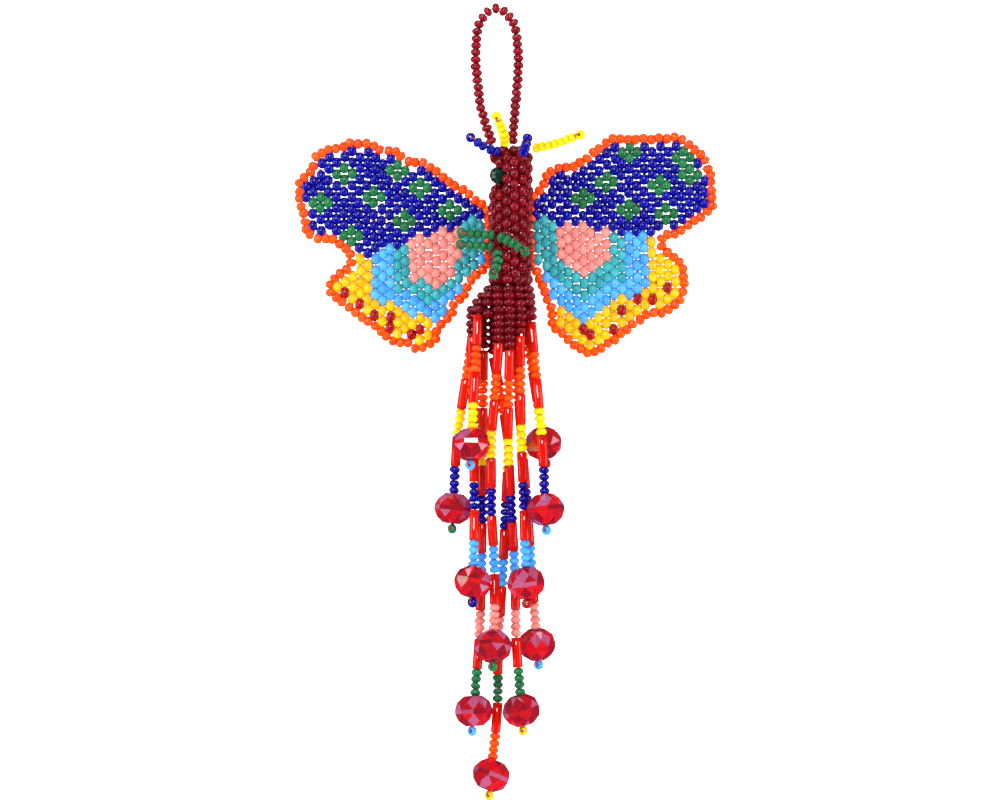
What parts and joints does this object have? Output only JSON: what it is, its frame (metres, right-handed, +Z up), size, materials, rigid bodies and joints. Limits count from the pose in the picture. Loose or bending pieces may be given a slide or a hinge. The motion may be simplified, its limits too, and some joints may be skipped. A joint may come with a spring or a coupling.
{
  "type": "beaded butterfly hanging ornament",
  "caption": "Woven glass-bead butterfly on a beaded hanging loop, with folding wings, antennae, legs and a tiered fringe of strands that end in cut crystals.",
  "frame": {"origin": "the point inside the top of the hanging loop where a nail or hook carries the ornament", "axes": "+Z up, along the ornament's length; -Y towards the viewer of its front; +X to the right of that view"},
  "size_m": [0.0863, 0.0194, 0.1627],
  "materials": {
    "dark_red_glass": "glossy translucent garnet seed beads",
    "body_red_glass": "glossy translucent garnet seed beads",
    "eye_glass": "cut dark green glass",
    "navy_glass": "glossy opaque",
    "green_glass": "glossy opaque",
    "pink_glass": "pearly opaque",
    "turquoise_glass": "pearly opaque",
    "light_blue_glass": "glossy opaque",
    "yellow_glass": "glossy opaque",
    "orange_glass": "glossy, slightly translucent",
    "bugle_glass": "transparent bright red tubes among opaque seed beads",
    "crystal_glass": "cut transparent red glass with a rainbow coat",
    "thread": "waxed beading thread"
  },
  "bodies": {
    "hanging_loop": {"hanging_loop_beads": "dark_red_glass", "hanging_loop_thread": "thread"},
    "body": {"body_beads": "body_red_glass", "body_thread": "thread", "eyes": "eye_glass", "abdomen_beads": "body_red_glass", "abdomen_thread": "thread"},
    "left_wing": {"left_wing_navy_field": "navy_glass", "left_wing_green_flowers": "green_glass", "left_wing_pink_patch": "pink_glass", "left_wing_turquoise_band": "turquoise_glass", "left_wing_light_blue_band": "light_blue_glass", "left_wing_yellow_band": "yellow_glass", "left_wing_red_dots": "dark_red_glass", "left_wing_orange_edge": "orange_glass", "left_wing_thread": "thread"},
    "right_wing": {"right_wing_navy_field": "navy_glass", "right_wing_green_flowers": "green_glass", "right_wing_pink_patch": "pink_glass", "right_wing_turquoise_band": "turquoise_glass", "right_wing_light_blue_band": "light_blue_glass", "right_wing_yellow_band": "yellow_glass", "right_wing_red_dots": "dark_red_glass", "right_wing_orange_edge": "orange_glass", "right_wing_thread": "thread"},
    "antenna_blue_left": {"antenna_blue_left": "navy_glass"},
    "antenna_yellow_centre": {"antenna_yellow_centre": "yellow_glass"},
    "antenna_blue_right": {"antenna_blue_right": "navy_glass"},
    "antenna_yellow_right": {"antenna_yellow_right": "yellow_glass"},
    "leg_upper_left": {"leg_upper_left": "green_glass"},
    "leg_lower_left": {"leg_lower_left": "green_glass"},
    "leg_upper_right": {"leg_upper_right": "green_glass"},
    "leg_lower_right": {"leg_lower_right": "green_glass"},
    "fringe_strand_01": {"fringe_strand_01_beads": "bugle_glass", "fringe_strand_01_drop": "crystal_glass"},
    "fringe_strand_02": {"fringe_strand_02_beads": "bugle_glass", "fringe_strand_02_drop": "crystal_glass"},
    "fringe_strand_03": {"fringe_strand_03_beads": "bugle_glass", "fringe_strand_03_drop": "crystal_glass"},
    "fringe_strand_04": {"fringe_strand_04_beads": "bugle_glass", "fringe_strand_04_drop": "crystal_glass"},
    "fringe_strand_05": {"fringe_strand_05_beads": "bugle_glass", "fringe_strand_05_drop": "crystal_glass"},
    "fringe_strand_06": {"fringe_strand_06_beads": "bugle_glass", "fringe_strand_06_drop": "crystal_glass"},
    "fringe_strand_07": {"fringe_strand_07_beads": "bugle_glass", "fringe_strand_07_drop": "crystal_glass"},
    "fringe_strand_08": {"fringe_strand_08_beads": "bugle_glass", "fringe_strand_08_drop": "crystal_glass"},
    "fringe_strand_09": {"fringe_strand_09_beads": "bugle_glass", "fringe_strand_09_drop": "crystal_glass"},
    "fringe_strand_10": {"fringe_strand_10_beads": "bugle_glass", "fringe_strand_10_drop": "crystal_glass"},
    "fringe_strand_11": {"fringe_strand_11_beads": "bugle_glass", "fringe_strand_11_drop": "crystal_glass"}
  },
  "joints": [
    {"name": "body_swing", "type": "hinge", "parent": "hanging_loop", "child": "body", "pos_m": [0.00275, 0, -0.027], "axis": [1, 0, 0], "range_deg": [-25, 25]},
    {"name": "left_wing_fold", "type": "hinge", "parent": "body", "child": "left_wing", "pos_m": [-0.0011, 0.0043, -0.044], "axis": [0, 0, 1], "range_deg": [-60, 22]},
    {"name": "right_wing_fold", "type": "hinge", "parent": "body", "child": "right_wing", "pos_m": [0.0062, 0.0043, -0.044], "axis": [0, 0, -1], "range_deg": [-60, 22]},
    {"name": "antenna_blue_left_bend", "type": "hinge", "parent": "body", "child": "antenna_blue_left", "pos_m": [0.0006, -0.0036, -0.0283], "axis": [0, 1, 0], "range_deg": [-20, 20], "stiffness_Nm_per_rad": 0.0001},
    {"name": "antenna_yellow_centre_bend", "type": "hinge", "parent": "body", "child": "antenna_yellow_centre", "pos_m": [0.0017, -0.0018, -0.0267], "axis": [1, 0, 0], "range_deg": [-15, 25], "stiffness_Nm_per_rad": 0.0001},
    {"name": "antenna_blue_right_bend", "type": "hinge", "parent": "body", "child": "antenna_blue_right", "pos_m": [0.0052, -0.0042, -0.0286], "axis": [0, 1, 0], "range_deg": [-20, 20], "stiffness_Nm_per_rad": 0.0001},
    {"name": "antenna_yellow_right_bend", "type": "hinge", "parent": "body", "child": "antenna_yellow_right", "pos_m": [0.0074, -0.0012, -0.0274], "axis": [0, 1, 0], "range_deg": [-20, 20], "stiffness_Nm_per_rad": 0.0001},
    {"name": "leg_upper_left_bend", "type": "hinge", "parent": "body", "child": "leg_upper_left", "pos_m": [-0.0006, -0.0041, -0.0452], "axis": [0, 0, 1], "range_deg": [-20, 25], "stiffness_Nm_per_rad": 0.0001},
    {"name": "leg_lower_left_bend", "type": "hinge", "parent": "body", "child": "leg_lower_left", "pos_m": [-0.0008, -0.0043, -0.0475], "axis": [0, 0, 1], "range_deg": [-20, 25], "stiffness_Nm_per_rad": 0.0001},
    {"name": "leg_upper_right_bend", "type": "hinge", "parent": "body", "child": "leg_upper_right", "pos_m": [0.0003, -0.0054, -0.0454], "axis": [0, 0, 1], "range_deg": [-25, 20], "stiffness_Nm_per_rad": 0.0001},
    {"name": "leg_lower_right_bend", "type": "hinge", "parent": "body", "child": "leg_lower_right", "pos_m": [0, -0.0055, -0.0484], "axis": [1, 0, 0], "range_deg": [-25, 20], "stiffness_Nm_per_rad": 0.0001},
    {"name": "fringe_strand_01_swing", "type": "hinge", "parent": "body", "child": "fringe_strand_01", "pos_m": [-0.00463, 0.00152, -0.06251], "axis": [1, 0, 0], "range_deg": [-1, 12]},
    {"name": "fringe_strand_02_swing", "type": "hinge", "parent": "body", "child": "fringe_strand_02", "pos_m": [-0.00381, -0.00229, -0.06109], "axis": [1, 0, 0], "range_deg": [-16, 1.5]},
    {"name": "fringe_strand_03_swing", "type": "hinge", "parent": "body", "child": "fringe_strand_03", "pos_m": [0.00037, -0.00359, -0.06677], "axis": [1, 0, 0], "range_deg": [-1, 1]},
    {"name": "fringe_strand_04_swing", "type": "hinge", "parent": "body", "child": "fringe_strand_04", "pos_m": [0.00253, -0.00347, -0.06819], "axis": [1, 0, 0], "range_deg": [-1, 1]},
    {"name": "fringe_strand_05_swing", "type": "hinge", "parent": "body", "child": "fringe_strand_05", "pos_m": [0.00466, -0.00284, -0.06535], "axis": [1, 0, 0], "range_deg": [-1.5, 1]},
    {"name": "fringe_strand_06_swing", "type": "hinge", "parent": "body", "child": "fringe_strand_06", "pos_m": [0.00693, 0.00053, -0.06251], "axis": [1, 0, 0], "range_deg": [-16, 1]},
    {"name": "fringe_strand_07_swing", "type": "hinge", "parent": "body", "child": "fringe_strand_07", "pos_m": [0.00561, 0.00229, -0.06109], "axis": [1, 0, 0], "range_deg": [-1.5, 18]},
    {"name": "fringe_strand_08_swing", "type": "hinge", "parent": "body", "child": "fringe_strand_08", "pos_m": [0.00362, 0.00322, -0.06677], "axis": [1, 0, 0], "range_deg": [-1, 2.5]},
    {"name": "fringe_strand_09_swing", "type": "hinge", "parent": "body", "child": "fringe_strand_09", "pos_m": [-0.00073, 0.00347, -0.06961], "axis": [1, 0, 0], "range_deg": [-1, 18]},
    {"name": "fringe_strand_10_swing", "type": "hinge", "parent": "body", "child": "fringe_strand_10", "pos_m": [-0.00286, 0.00284, -0.06819], "axis": [1, 0, 0], "range_deg": [-1, 1]},
    {"name": "fringe_strand_11_swing", "type": "hinge", "parent": "body", "child": "fringe_strand_11", "pos_m": [-0.00513, -0.00053, -0.06535], "axis": [1, 0, 0], "range_deg": [-3, 1]}
  ]
}
